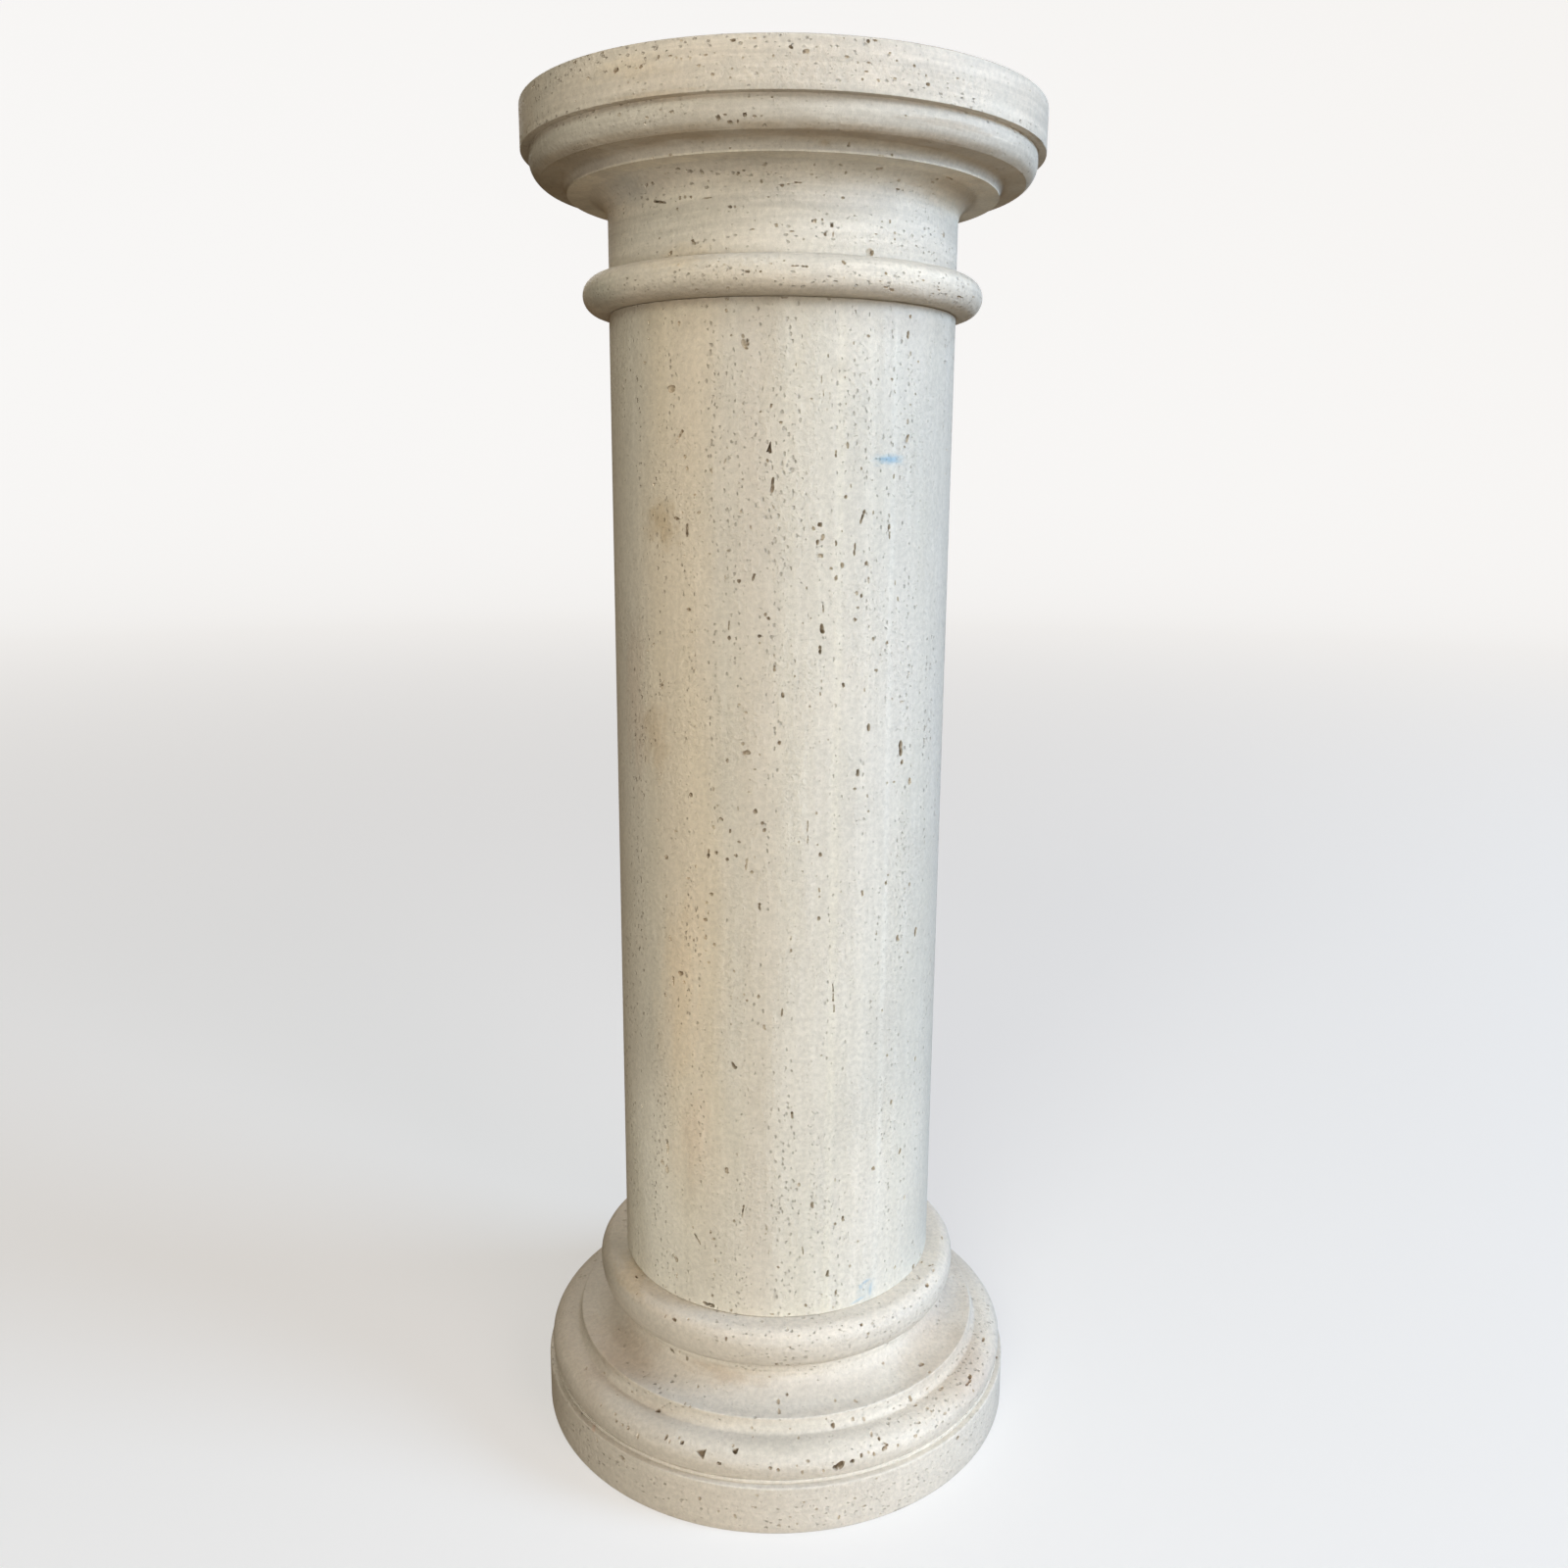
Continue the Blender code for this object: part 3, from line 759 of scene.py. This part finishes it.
SHAFT_DENTS = [
    (762, 882, 4, 13, 5), (767, 890, 4), (824, 843, 2, 12), (824, 857, 2, 8), (780, 1048, 4, 6),
    (681, 1170, 3, 15), (676, 1186, 4, 5, -20), (681, 1194, 5, 7, -15), (742, 1194, 5, 7), (815, 1209, 4),
    (829, 1230, 4, 7, -15), (759, 350, 6, 9, -20), (685, 397, 8), (762, 768, 9, 7), (836, 567, 8, 5),
    (662, 329, 2, 5), (662, 346, 2, 3), (658, 370), (673, 359, 2, 3), (693, 330, 3, 5, 15), (746, 342),
    (699, 466, 3, 5), (701, 478, 3, 5), (758, 412), (759, 421), (742, 457, 2, 3), (740, 471, 3, 6, 25),
    (746, 465, 2), (726, 480, 3, 6), (789, 517, 2, 5, -30), (758, 489), (754, 493), (667, 495, 2, 5),
    (695, 504, 2), (709, 505), (696, 523), (713, 523, 4, 3, -30), (714, 547, 2), (756, 522, 3, 4),
    (766, 538, 2, 5, -15), (698, 567, 2, 3), (743, 562, 4, 3), (724, 565, 3, 2), (729, 580, 2),
    (740, 589, 2, 5), (868, 496, 2, 5), (863, 412), (828, 407), (840, 401, 2, 7), (838, 387, 2, 8),
    (812, 372, 2, 4), (845, 363, 2, 4), (871, 350, 2, 4), (886, 343, 4, 3), (929, 361, 2, 5),
    (937, 369, 2, 3), (910, 387), (896, 387, 2, 3), (862, 385, 2, 3), (934, 402, 2, 3), (929, 413, 2, 3),
    (926, 430, 2, 6), (923, 456, 2, 3), (966, 459, 2, 3), (965, 484, 2, 3), (879, 478, 2, 4), (890, 490, 2),
    (912, 486, 2, 5), (891, 523, 2, 4), (859, 542, 2, 3), (886, 592, 2, 7), (874, 606, 5), (913, 595, 2, 6),
    (916, 611, 2, 5), (836, 592, 2), (823, 600, 2, 4), (846, 603, 2), (875, 620, 4, 3), (891, 652, 3, 5),
    (898, 668, 2, 3), (720, 618, 2), (706, 645, 3, 2), (709, 669, 2, 3), (667, 657, 2, 3), (661, 664, 2, 3),
    (807, 659, 2), (790, 669, 2, 4), (819, 636, 2, 3), (827, 631, 3, 2), (677, 695, 2, 3), (709, 683, 2, 3),
    (775, 656), (811, 690), (791, 709, 2), (826, 721), (838, 695, 2, 4), (837, 708, 2, 5), (852, 719),
    (882, 704, 2, 5), (920, 716, 4, 3), (910, 713, 2, 3), (912, 798), (905, 799), (754, 719, 4, 3),
    (761, 727, 4, 3), (736, 721, 2), (794, 726, 2), (771, 752, 2, 3), (775, 770), (709, 741, 2, 3),
    (836, 757, 2, 3), (845, 755), (706, 819, 2, 3), (764, 808), (765, 796, 2, 3), (770, 785, 4, 2),
    (732, 822), (728, 805, 2, 5), (753, 825, 2, 5), (728, 844, 3, 5, -30), (689, 848, 5, 3), (671, 837),
    (766, 847, 2, 3), (833, 830, 3, 4), (834, 862), (815, 859), (885, 812, 2, 4), (886, 828),
    (906, 893, 2, 3), (923, 907, 2, 3), (928, 902, 2, 4), (890, 907, 2), (770, 875, 2, 4), (710, 884, 2, 4),
    (702, 896, 5, 3), (721, 921, 3, 4), (680, 914, 2, 4), (723, 931, 2, 5), (708, 959, 2, 4),
    (720, 970, 3, 2), (749, 991), (807, 957, 2, 5), (836, 915), (828, 881, 3, 2), (819, 889, 2, 3),
    (833, 894, 2), (894, 953), (926, 972, 2, 3), (858, 910, 2, 3), (679, 1015, 3, 4), (759, 1015),
    (746, 1018, 2, 5), (774, 1017, 4, 5), (746, 1045, 2, 3), (900, 1031, 2, 3), (905, 1077),
    (934, 1080, 2, 5), (838, 1077, 3, 2), (655, 1129, 2, 4), (807, 1130, 2), (752, 1178, 2, 3),
    (844, 1213, 2), (852, 1204, 2, 4), (782, 1253, 2, 5), (784, 1278, 2, 4), (923, 1222, 2, 5), (707, 1252),
    (781, 1259, 3, 2), (687, 1281, 3, 4), (729, 1301, 2, 4), (691, 1302, 2, 6), (838, 1321, 3, 2),
    (881, 1316, 2), (875, 1267), (867, 1292), (913, 1293),
]
SHAFT_WEDGE = (785, 458, 9, 21, 190)
SHAFT_NIBBLES = [
    (723, 1331, 12, 4, 12), (746, 1337), (787, 1341, 5, 2), (932, 1292, 4), (939, 1280), (679, 1313, 3, 2),
    (805, 1341, 3, 2), (850, 1334, 3, 2), (800, 303, 7, 3), (846, 305, 4, 3), (742, 305, 5, 3),
]


def shaft_outline():
    inner = SHAFT_RADIUS - SHAFT_EDGE
    outline = [(0.0, shaft_high.z), (SHAFT_BED_RING, shaft_high.z)]
    outline += arc((inner, shaft_high.z - SHAFT_EDGE), SHAFT_EDGE, 90, 0, 3)
    rise = shaft_high.z - shaft_low.z - 2 * SHAFT_EDGE
    for row in range(1, SHAFT_ROWS):
        outline.append((SHAFT_RADIUS, shaft_high.z - SHAFT_EDGE - rise * row / SHAFT_ROWS))
    outline += arc((inner, shaft_low.z + SHAFT_EDGE), SHAFT_EDGE, 0, -90, 3)
    outline += [(SHAFT_BED_RING, shaft_low.z), (0.0, shaft_low.z)]
    return outline


shaft_line = shaft_outline()
shaft = turn_stone("shaft_stone", shaft_line)

BLUE_SMUDGE = (907, 469)
BROWN_SMOKE = (675, 535)
LOWER_SMOKE = (668, 755)
SIDE_SMOKE = (648, 720)
GREY_CLOUD = (857, 377)
DARK_SMEAR = (791, 1323)
BLUE_TINT = (883, 1317)
LEFT_FOOT_PAINTED_LIGHT = (664, 1220)
RIGHT_TOP = (915, 480)
LOW_TAN = (692, 1010)
LOW_PINK = (706, 1165)
RIGHT_FOOT_PAINTED_LIGHT = (905, 1215)
BLUE_STROKES = [(883, 1308, 7.5, 74), (888, 1316, 10, 4), (878, 1313, 4, -27), (875, 1327, 12, 76)]
STROKE_HALF_WIDTH = 0.00182
STROKE_HALF_DEPTH = 0.01
STROKE_PIXEL = 0.000805
blue_marks = []
for across, down, half_length, lean in BLUE_STROKES:
    half_sizes = (STROKE_HALF_WIDTH, STROKE_HALF_DEPTH, STROKE_PIXEL * half_length)
    blue_marks.append(patch(shaft, (across, down), half_sizes, (0.70, 0.84, 1.0), 0.9, 0.35, lean))
paler_foot = fade("Z", 0.2, 0.62, 0.25, (1.06, 1.075, 1.085))

shaft_marks = blue_marks + [
    band(-0.070, 0.034, (1.12, 1.06, 0.98), 0.9, (0.12, 0.36)),
    band(-0.016, 0.020, (0.97, 0.95, 0.94), 0.8),
    band(-0.112, 0.026, (1.02, 1.02, 1.02), 0.7),
    band(0.085, 0.040, (1.0, 1.01, 1.03), 0.7),
    band(0.038, 0.005, (1.04, 1.04, 1.02), 0.9),
    band(0.059, 0.004, (1.05, 1.05, 1.05), 0.9),
    band(0.076, 0.003, (1.05, 1.06, 1.07), 0.9),
    paler_foot,
    # Painted shade at the top of the shaft, under the astragal.
    ring(shaft_high.z, 0.030, (0.88, 0.87, 0.86)),
]
shaft_marks += patches(shaft, [
    (LOW_TAN, (0.024, 0.05, 0.11), (1.03, 0.985, 0.93), 1.0, 0.4, 7),
    (LOW_PINK, (0.018, 0.04, 0.055), (0.99, 0.95, 0.93), 1.0, 0.4, 7),
    (RIGHT_TOP, (0.060, 0.12, 0.13), (0.93, 0.94, 0.94)),
    # Painted light on the shaft's foot: on its right, and on its left with a paler, cooler tone as well.
    (RIGHT_FOOT_PAINTED_LIGHT, (0.060, 0.12, 0.12), (1.08, 1.06, 1.04)),
    (LEFT_FOOT_PAINTED_LIGHT, (0.055, 0.10, 0.14), (1.20, 1.22, 1.24)),
    (BROWN_SMOKE, (0.018, 0.03, 0.022), (0.78, 0.71, 0.60), 0.8, 0.5),
    (LOWER_SMOKE, (0.018, 0.03, 0.036), (0.86, 0.80, 0.73), 0.8, 0.5),
    (SIDE_SMOKE, (0.016, 0.03, 0.080), (0.95, 0.89, 0.86), 0.8, 0.5),
    (GREY_CLOUD, (0.009, 0.03, 0.010), (0.90, 0.89, 0.86), 0.8, 0.5),
    (DARK_SMEAR, (0.0024, 0.02, 0.0065), (0.70, 0.68, 0.66), 0.8, 0.3, 8),
    (BLUE_TINT, (0.011, 0.02, 0.013), (0.88, 0.94, 1.0), 0.9, 0.5),
    (BLUE_SMUDGE, (0.0165, 0.02, 0.0055), (0.68, 0.84, 1.0), 0.9, 0.5),
    (BLUE_SMUDGE, (0.0105, 0.02, 0.0030), (0.62, 0.80, 0.97), 0.9, 0.5),
])
shaft.data.materials.append(travertine(
    "shaft_travertine", (0, -math.pi / 2, 0), (0.9, 0.4, 0.2),
    [(0.60, 0.55, 0.45), (0.62, 0.57, 0.48), (0.61, 0.56, 0.46), (0.64, 0.59, 0.50)],
    0.015, shaft_marks))
shaft_seen = [([SHAFT_WEDGE], 0.9, wedges), (SHAFT_PITS, 1.1, None), (SHAFT_DENTS, 0.6, None),
              (SHAFT_NIBBLES, 0.9, None)]
open_pores(shaft, shaft_line[2:-2], shaft_seen, seed=23, trains=190, upright=True)
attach(shaft, "root")
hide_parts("shaft")


# Capital: one block of travertine with its bedding level, turned and honed.
# From its bed up: astragal, neck, cove, collar, under-hollow, soffit, ovolo and abacus.
# It rests on the shaft by its own weight, and its flat top carries what is set on it.
capital_low, capital_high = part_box("capital")
CAPITAL_BED = capital_low.z
ABACUS_RADIUS = capital_high.x
ABACUS_TOP = capital_high.z
ABACUS_HEIGHT = 0.0305
ABACUS_EDGE = 0.0020
ABACUS_UNDER_EDGE = 0.0006
OVOLO_RADIUS = 0.1786
OVOLO_REACH = 0.0161
OVOLO_CENTRE_HEIGHT = CAPITAL_BED + 0.1000
OVOLO_DROP = 0.0150
OVOLO_END = -57
COLLAR_RADIUS = 0.1530
COLLAR_BOTTOM = CAPITAL_BED + 0.0794
COLLAR_FACE = 0.0008
UNDER_HOLLOW_REACH = 0.0075
NECK_RADIUS = 0.1249
NECK_COVE = 0.0165
ASTRAGAL_CENTRE_RADIUS = 0.1314
ASTRAGAL_ROUND = 0.0124
CAPITAL_BED_RING = NECK_RADIUS * 0.85

CAPITAL_PITS = [
    (748, 41, 5, 3), (807, 48, 5, 3, 20), (886, 42, 3, 4, 15), (893, 41, 5, 2), (629, 72, 5, 4),
    (654, 68, 4, 3, -25), (672, 58, 2, 4, 10), (720, 56, 5, 2), (586, 64, 4, 3), (615, 54, 3, 2),
    (947, 86, 4, 3), (933, 67), (733, 120, 4, 6), (745, 125, 5, 4, 15), (740, 117, 4, 2), (753, 124, 2, 4),
    (760, 117, 4), (770, 119, 5, 3), (788, 99, 3, 2), (866, 147, 3, 5), (910, 158), (703, 174, 6, 3),
    (716, 175, 4, 5, -15), (692, 172, 5, 3), (672, 171, 4, 2), (660, 189, 4), (666, 187),
    (673, 206, 12, 3, 10), (694, 202, 3, 4), (699, 201), (705, 201), (897, 172, 7, 4, -20), (863, 176),
    (780, 168, 6, 3, -25), (753, 177, 4, 3, -35), (758, 174, 3, 2), (777, 185, 3, 4, -15), (798, 189, 5, 3),
    (804, 188, 4, 2), (814, 186, 8, 2), (956, 183), (952, 186, 3, 2), (969, 182, 7, 2), (916, 193, 4, 2),
    (745, 211, 4, 3), (750, 211), (708, 247, 6, 4, 35), (684, 259, 5, 4, -30), (831, 225, 6, 4), (839, 224),
    (849, 230, 4), (842, 239, 3, 4), (893, 262), (763, 277, 6, 3), (776, 277), (811, 271, 8, 2),
    (821, 272, 7, 2), (861, 268, 4, 5, -30), (904, 279), (979, 303, 5, 2),
]
CAPITAL_DENTS = [
    (823, 52, 7, 5), (887, 257, 9, 8), (544, 88, 4, 3), (649, 70, 3, 2), (684, 57, 4, 2), (690, 59),
    (695, 60), (704, 59), (729, 54, 3, 2), (713, 67, 4, 3), (718, 68, 2), (727, 76, 4, 3), (641, 84, 2, 3),
    (657, 92, 5, 2), (646, 96, 3, 2), (600, 80), (695, 41, 4, 2), (770, 39, 4, 2), (765, 39, 2),
    (833, 48, 3, 2), (861, 39, 2), (864, 58, 5, 3), (875, 64), (886, 64, 4, 2), (884, 73, 4, 2), (880, 81),
    (896, 82, 4, 3), (915, 62, 3, 2), (908, 54, 3, 2), (913, 80, 4, 2), (747, 70), (758, 59), (789, 57),
    (794, 74, 2), (745, 79), (945, 77, 2, 3), (977, 80, 3, 2), (632, 117, 3, 4), (660, 120, 4, 3),
    (685, 114, 5, 3), (674, 112, 3, 2), (658, 126), (717, 145, 3, 2), (777, 118, 3, 2), (764, 99, 3, 2),
    (825, 135, 3, 2), (745, 151, 3, 2), (924, 118, 3, 2), (666, 161), (684, 158, 4, 3), (899, 159, 6, 2),
    (690, 176, 2), (680, 177, 5, 2), (682, 182, 2), (731, 167, 2), (734, 178, 2, 3), (723, 185, 2, 3),
    (655, 189, 2), (722, 202, 8, 2), (740, 162, 4, 2), (858, 168, 5, 2, 25), (831, 168, 2, 3),
    (797, 171, 3, 2), (787, 176, 2), (765, 185, 2, 3), (828, 178, 4, 2), (833, 181, 3, 2), (917, 184),
    (784, 201, 3, 2), (841, 199, 2), (860, 202, 4, 3), (953, 198, 3, 2), (921, 194, 2), (691, 213),
    (722, 213, 2), (673, 243, 2, 3), (691, 261, 2), (741, 254, 2, 3), (768, 234, 4, 2), (770, 225, 2),
    (792, 230, 4), (786, 227, 2), (850, 239, 2, 5), (808, 236, 5, 2), (820, 244, 2, 3), (872, 220, 2),
    (908, 226, 2, 4), (900, 226, 2), (913, 238), (913, 244, 2, 3), (894, 239, 3, 2), (963, 240, 2, 5),
    (692, 270), (733, 267, 3, 2), (739, 270, 3, 2), (721, 272, 2), (771, 276, 2), (787, 269, 3, 2),
    (711, 296, 5, 3), (743, 294, 4, 3), (800, 266, 3, 2), (861, 284, 2, 3), (942, 286, 3, 2),
    (958, 296, 3, 2), (993, 303, 3, 2), (898, 287, 3, 2), (871, 294, 3, 2), (862, 260, 2), (910, 296, 6, 3),
    (904, 293, 5, 3),
]


def capital_outline():
    outline = [(0.0, ABACUS_TOP), (NECK_RADIUS, ABACUS_TOP)]
    outline += arc((ABACUS_RADIUS - ABACUS_EDGE, ABACUS_TOP - ABACUS_EDGE), ABACUS_EDGE, 90, 0, 5)
    for share in (0.3, 0.5, 0.7):
        outline.append((ABACUS_RADIUS, ABACUS_TOP - ABACUS_HEIGHT * share))
    abacus_bottom = ABACUS_TOP - ABACUS_HEIGHT
    under_centre = (ABACUS_RADIUS - ABACUS_UNDER_EDGE, abacus_bottom + ABACUS_UNDER_EDGE)
    outline += arc(under_centre, ABACUS_UNDER_EDGE, 0, -90, 2)
    outline.append((OVOLO_RADIUS, abacus_bottom))

    ovolo_centre = (OVOLO_RADIUS - OVOLO_REACH, OVOLO_CENTRE_HEIGHT)
    outline += arc(ovolo_centre, OVOLO_REACH, 0, OVOLO_END, 12, OVOLO_DROP)
    soffit_height = outline[-1][1]
    collar_top = COLLAR_BOTTOM + COLLAR_FACE
    hollow_centre = (COLLAR_RADIUS + UNDER_HOLLOW_REACH, collar_top)
    outline += arc(hollow_centre, UNDER_HOLLOW_REACH, 90, 180, 8, soffit_height - collar_top)
    outline.append((COLLAR_RADIUS, COLLAR_BOTTOM))

    cove_centre = (NECK_RADIUS + NECK_COVE, COLLAR_BOTTOM - NECK_COVE)
    outline += arc(cove_centre, NECK_COVE, 90, 180, 12)
    neck_bottom = CAPITAL_BED + 2 * ASTRAGAL_ROUND
    neck_length = cove_centre[1] - neck_bottom
    for share in (0.8, 0.6, 0.4, 0.2, 0.0):
        outline.append((NECK_RADIUS, neck_bottom + neck_length * share))
    outline += arc((ASTRAGAL_CENTRE_RADIUS, CAPITAL_BED + ASTRAGAL_ROUND), ASTRAGAL_ROUND, 90, -90, 22)
    outline += [(CAPITAL_BED_RING, CAPITAL_BED), (0.0, CAPITAL_BED)]
    return outline


capital_line = capital_outline()
capital = turn_stone("capital_stone", capital_line)

OVOLO_STREAKS = (975, 128)
OVOLO_SMEAR = (842, 146)
OVOLO_LINE = (900, 137)
OVOLO_LEFT_LINE = (700, 139)
OVOLO_CHALK = (1022, 142)
ABACUS_TAN = (665, 98)
ABACUS_LEFT_TAN = (640, 70)
NECK_TAN = (692, 262)
# Places of painted shade: under the soffit at the right, and on the capital's left.
SOFFIT_PAINTED_SHADE = (972, 203)
LEFT_OVOLO_PAINTED_SHADE = (600, 165)
LEFT_NECK_TOP_PAINTED_SHADE = (640, 195)
LEFT_ASTRAGAL_PAINTED_SHADE = (613, 300)
ABACUS_SHADE = (950, 82)
NECK_TOP = place_on(capital, 790, 187)[0].z
# Painted shade on the left side of the capital.
capital_painted_shade_left = fade("X", 0.03, -0.10, -0.165, (0.74, 0.74, 0.73))
SOFFIT_LINE = CAPITAL_BED + 0.0880

capital_marks = [
    capital_painted_shade_left,
    # Painted warm shade under the ovolo, painted light on the top of the neck, a paler worn edge with a
    # painted highlight along the collar, and painted light on the abacus's face and the astragal.
    ring(SOFFIT_LINE, 0.0045, (0.86, 0.81, 0.75)),
    ring(NECK_TOP, 0.0150, (1.16, 1.16, 1.16)),
    ring(COLLAR_BOTTOM + COLLAR_FACE / 2, 0.0012, (1.25, 1.25, 1.23)),
    ring(ABACUS_TOP - ABACUS_HEIGHT / 2, ABACUS_HEIGHT * 0.75, (1.12, 1.09, 1.07)),
    ring(CAPITAL_BED + ASTRAGAL_ROUND, ASTRAGAL_ROUND * 1.6, (1.10, 1.09, 1.07)),
]
capital_marks += patches(capital, [
    # Painted warm shade under the soffit at the right, and painted shade on the left of the ovolo, the neck's
    # top and the astragal.
    (SOFFIT_PAINTED_SHADE, (0.055, 0.10, 0.014), (0.84, 0.76, 0.66)),
    (LEFT_OVOLO_PAINTED_SHADE, (0.030, 0.06, 0.012), (0.86, 0.86, 0.87)),
    (LEFT_NECK_TOP_PAINTED_SHADE, (0.030, 0.06, 0.012), (0.88, 0.92, 0.97)),
    (LEFT_ASTRAGAL_PAINTED_SHADE, (0.025, 0.06, 0.014), (0.82, 0.86, 0.87)),
    (ABACUS_SHADE, (0.035, 0.08, 0.016), (0.89, 0.89, 0.89), 1.0, 0.5),
    (OVOLO_STREAKS, (0.050, 0.04, 0.0035), (0.86, 0.80, 0.74), 0.8, 0.7),
    (OVOLO_LINE, (0.085, 0.08, 0.0016), (0.86, 0.80, 0.74), 0.9, 0.9),
    (OVOLO_LEFT_LINE, (0.060, 0.08, 0.0015), (0.89, 0.84, 0.78), 0.9, 0.9),
    (OVOLO_CHALK, (0.016, 0.03, 0.0009), (1.16, 1.16, 1.16), 0.9, 0.5),
    (ABACUS_TAN, (0.050, 0.06, 0.0035), (0.91, 0.86, 0.79), 0.9, 0.7),
    (ABACUS_LEFT_TAN, (0.040, 0.06, 0.010), (1.02, 0.99, 0.93), 0.9, 0.5),
    (NECK_TAN, (0.032, 0.05, 0.013), (0.99, 0.95, 0.88), 0.9, 0.5),
    (OVOLO_SMEAR, (0.0055, 0.02, 0.0025), (0.80, 0.72, 0.62), 0.8, 0.4),
])
capital.data.materials.append(travertine(
    "capital_travertine", (0, 0, 0), (0.5, 0.8, 0.35),
    [(0.57, 0.51, 0.42), (0.61, 0.56, 0.47), (0.58, 0.53, 0.44), (0.63, 0.58, 0.50)],
    0.07, capital_marks))
capital_seen = [(CAPITAL_PITS, 1.2, None), (CAPITAL_DENTS, 0.6, None)]
open_pores(capital, capital_line[1:-1], capital_seen, seed=37, trains=170, upright=False)
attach(capital, "root")
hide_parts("capital")


# Floor: a plain pale studio floor that sweeps up into a wall on every side, with no seam.
# It glows a little, so that it stays pale in a dim room, and it throws no light on the column.
FLOOR_RADIUS = 6.5
SWEEP = 2.0
WALL_TOP = 7.0
floor_line = [(0.0, 0.0), (0.6, 0.0), (2.0, 0.0), (FLOOR_RADIUS, 0.0)]
floor_line += arc((FLOOR_RADIUS, SWEEP), SWEEP, -90, 0, 16)[1:]
floor_line.append((FLOOR_RADIUS + SWEEP, WALL_TOP))
floor = turn_stone("floor", floor_line)
paint = Finish("floor_paint")
away = paint.vector("LENGTH", "Value", i0=paint.add("TexCoord")["Object"])
glow = paint.between(away, 0.3, 8.0, 0.50, 0.80)
paint.set(paint.shader, Base_Color=(0.45, 0.435, 0.415, 1.0), Roughness=0.9, Specular_IOR_Level=0.1,
          Emission_Color=(1.0, 0.995, 0.985, 1.0), Emission_Strength=glow)
floor.data.materials.append(paint.material)
select_alone(floor)
bpy.ops.object.shade_smooth()
floor.visible_diffuse = False
floor.visible_glossy = False
floor.visible_shadow = False


# Light: a broad cool window on the right, softer ones over both of the camera's shoulders,
# a low one in front for what the floor throws back, one behind that lights the stones alone,
# and a dim warm room.
def soft_light(name, place, aim, size, power, colour):
    bpy.ops.object.light_add(type="AREA", location=place)
    light = bpy.context.object
    light.name = name
    light.data.shape = "DISK"
    light.data.size = size
    light.data.energy = power
    light.data.color = colour
    light.rotation_euler = (Vector(aim) - Vector(place)).to_track_quat("-Z", "Y").to_euler()
    light.visible_camera = False


MIDDLE = (0, 0, 0.5)
soft_light("window_right", (5.08, -1.36, 2.42), MIDDLE, 2.6, 352.0, (0.531, 0.734, 1.0))
soft_light("window_left", (-1.66, -4.56, 3.30), MIDDLE, 2.6, 108.0, (0.961, 1.0, 0.921))
soft_light("window_front", (3.12, -3.72, 3.30), MIDDLE, 2.6, 70.0, (1.0, 0.894, 0.956))
soft_light("low_front", (0, -2.3, 0.30), (0, 0, 0.3), 0.8, 21.8, (1.0, 0.998, 0.957))
soft_light("back", (-1.4, 5.0, 3.0), MIDDLE, 2.6, 110.0, (1.0, 0.98, 0.95))
stones = bpy.data.collections.new("stones")
for stone in (base, shaft, capital):
    stones.objects.link(stone)
bpy.context.object.light_linking.receiver_collection = stones

world = bpy.data.worlds.new("room")
bpy.context.scene.world = world
world.use_nodes = True
room_light = world.node_tree.nodes["Background"]
room_light.inputs["Color"].default_value = (0.112, 0.070, 0.030, 1.0)
room_light.inputs["Strength"].default_value = 1.0
bpy.context.scene.view_settings.view_transform = "Standard"
